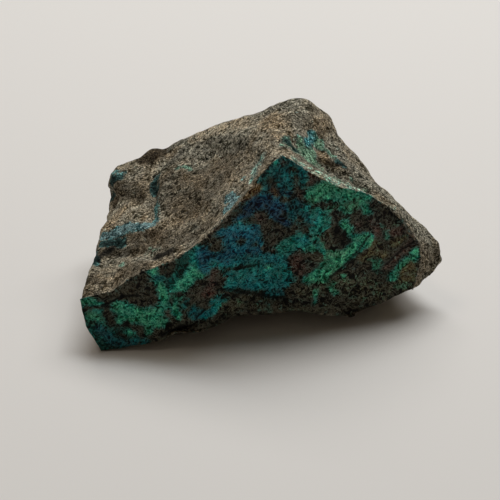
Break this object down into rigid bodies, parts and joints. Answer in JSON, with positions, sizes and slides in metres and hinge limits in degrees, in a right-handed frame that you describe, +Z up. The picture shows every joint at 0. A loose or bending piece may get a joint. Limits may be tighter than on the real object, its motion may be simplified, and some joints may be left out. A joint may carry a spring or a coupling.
{
  "type": "chrysocolla specimen",
  "caption": "Rough lump of copper ore with a flat broken face in blue-green chrysocolla and a weathered brown crust, resting on its own underside.",
  "frame": {"origin": "on the floor, under the middle of the stone's bounding box", "axes": "+X along the stone's length, from its low toe to its nose; +Y from the broken coloured face to the back; +Z up, as it stands"},
  "size_m": [0.0761, 0.0494, 0.0435],
  "materials": {
    "rock": "matt weathered crust, and a duller-than-satin broken face stained blue, teal and green"
  },
  "bodies": {
    "root": {"specimen": "rock"}
  },
  "joints": []
}
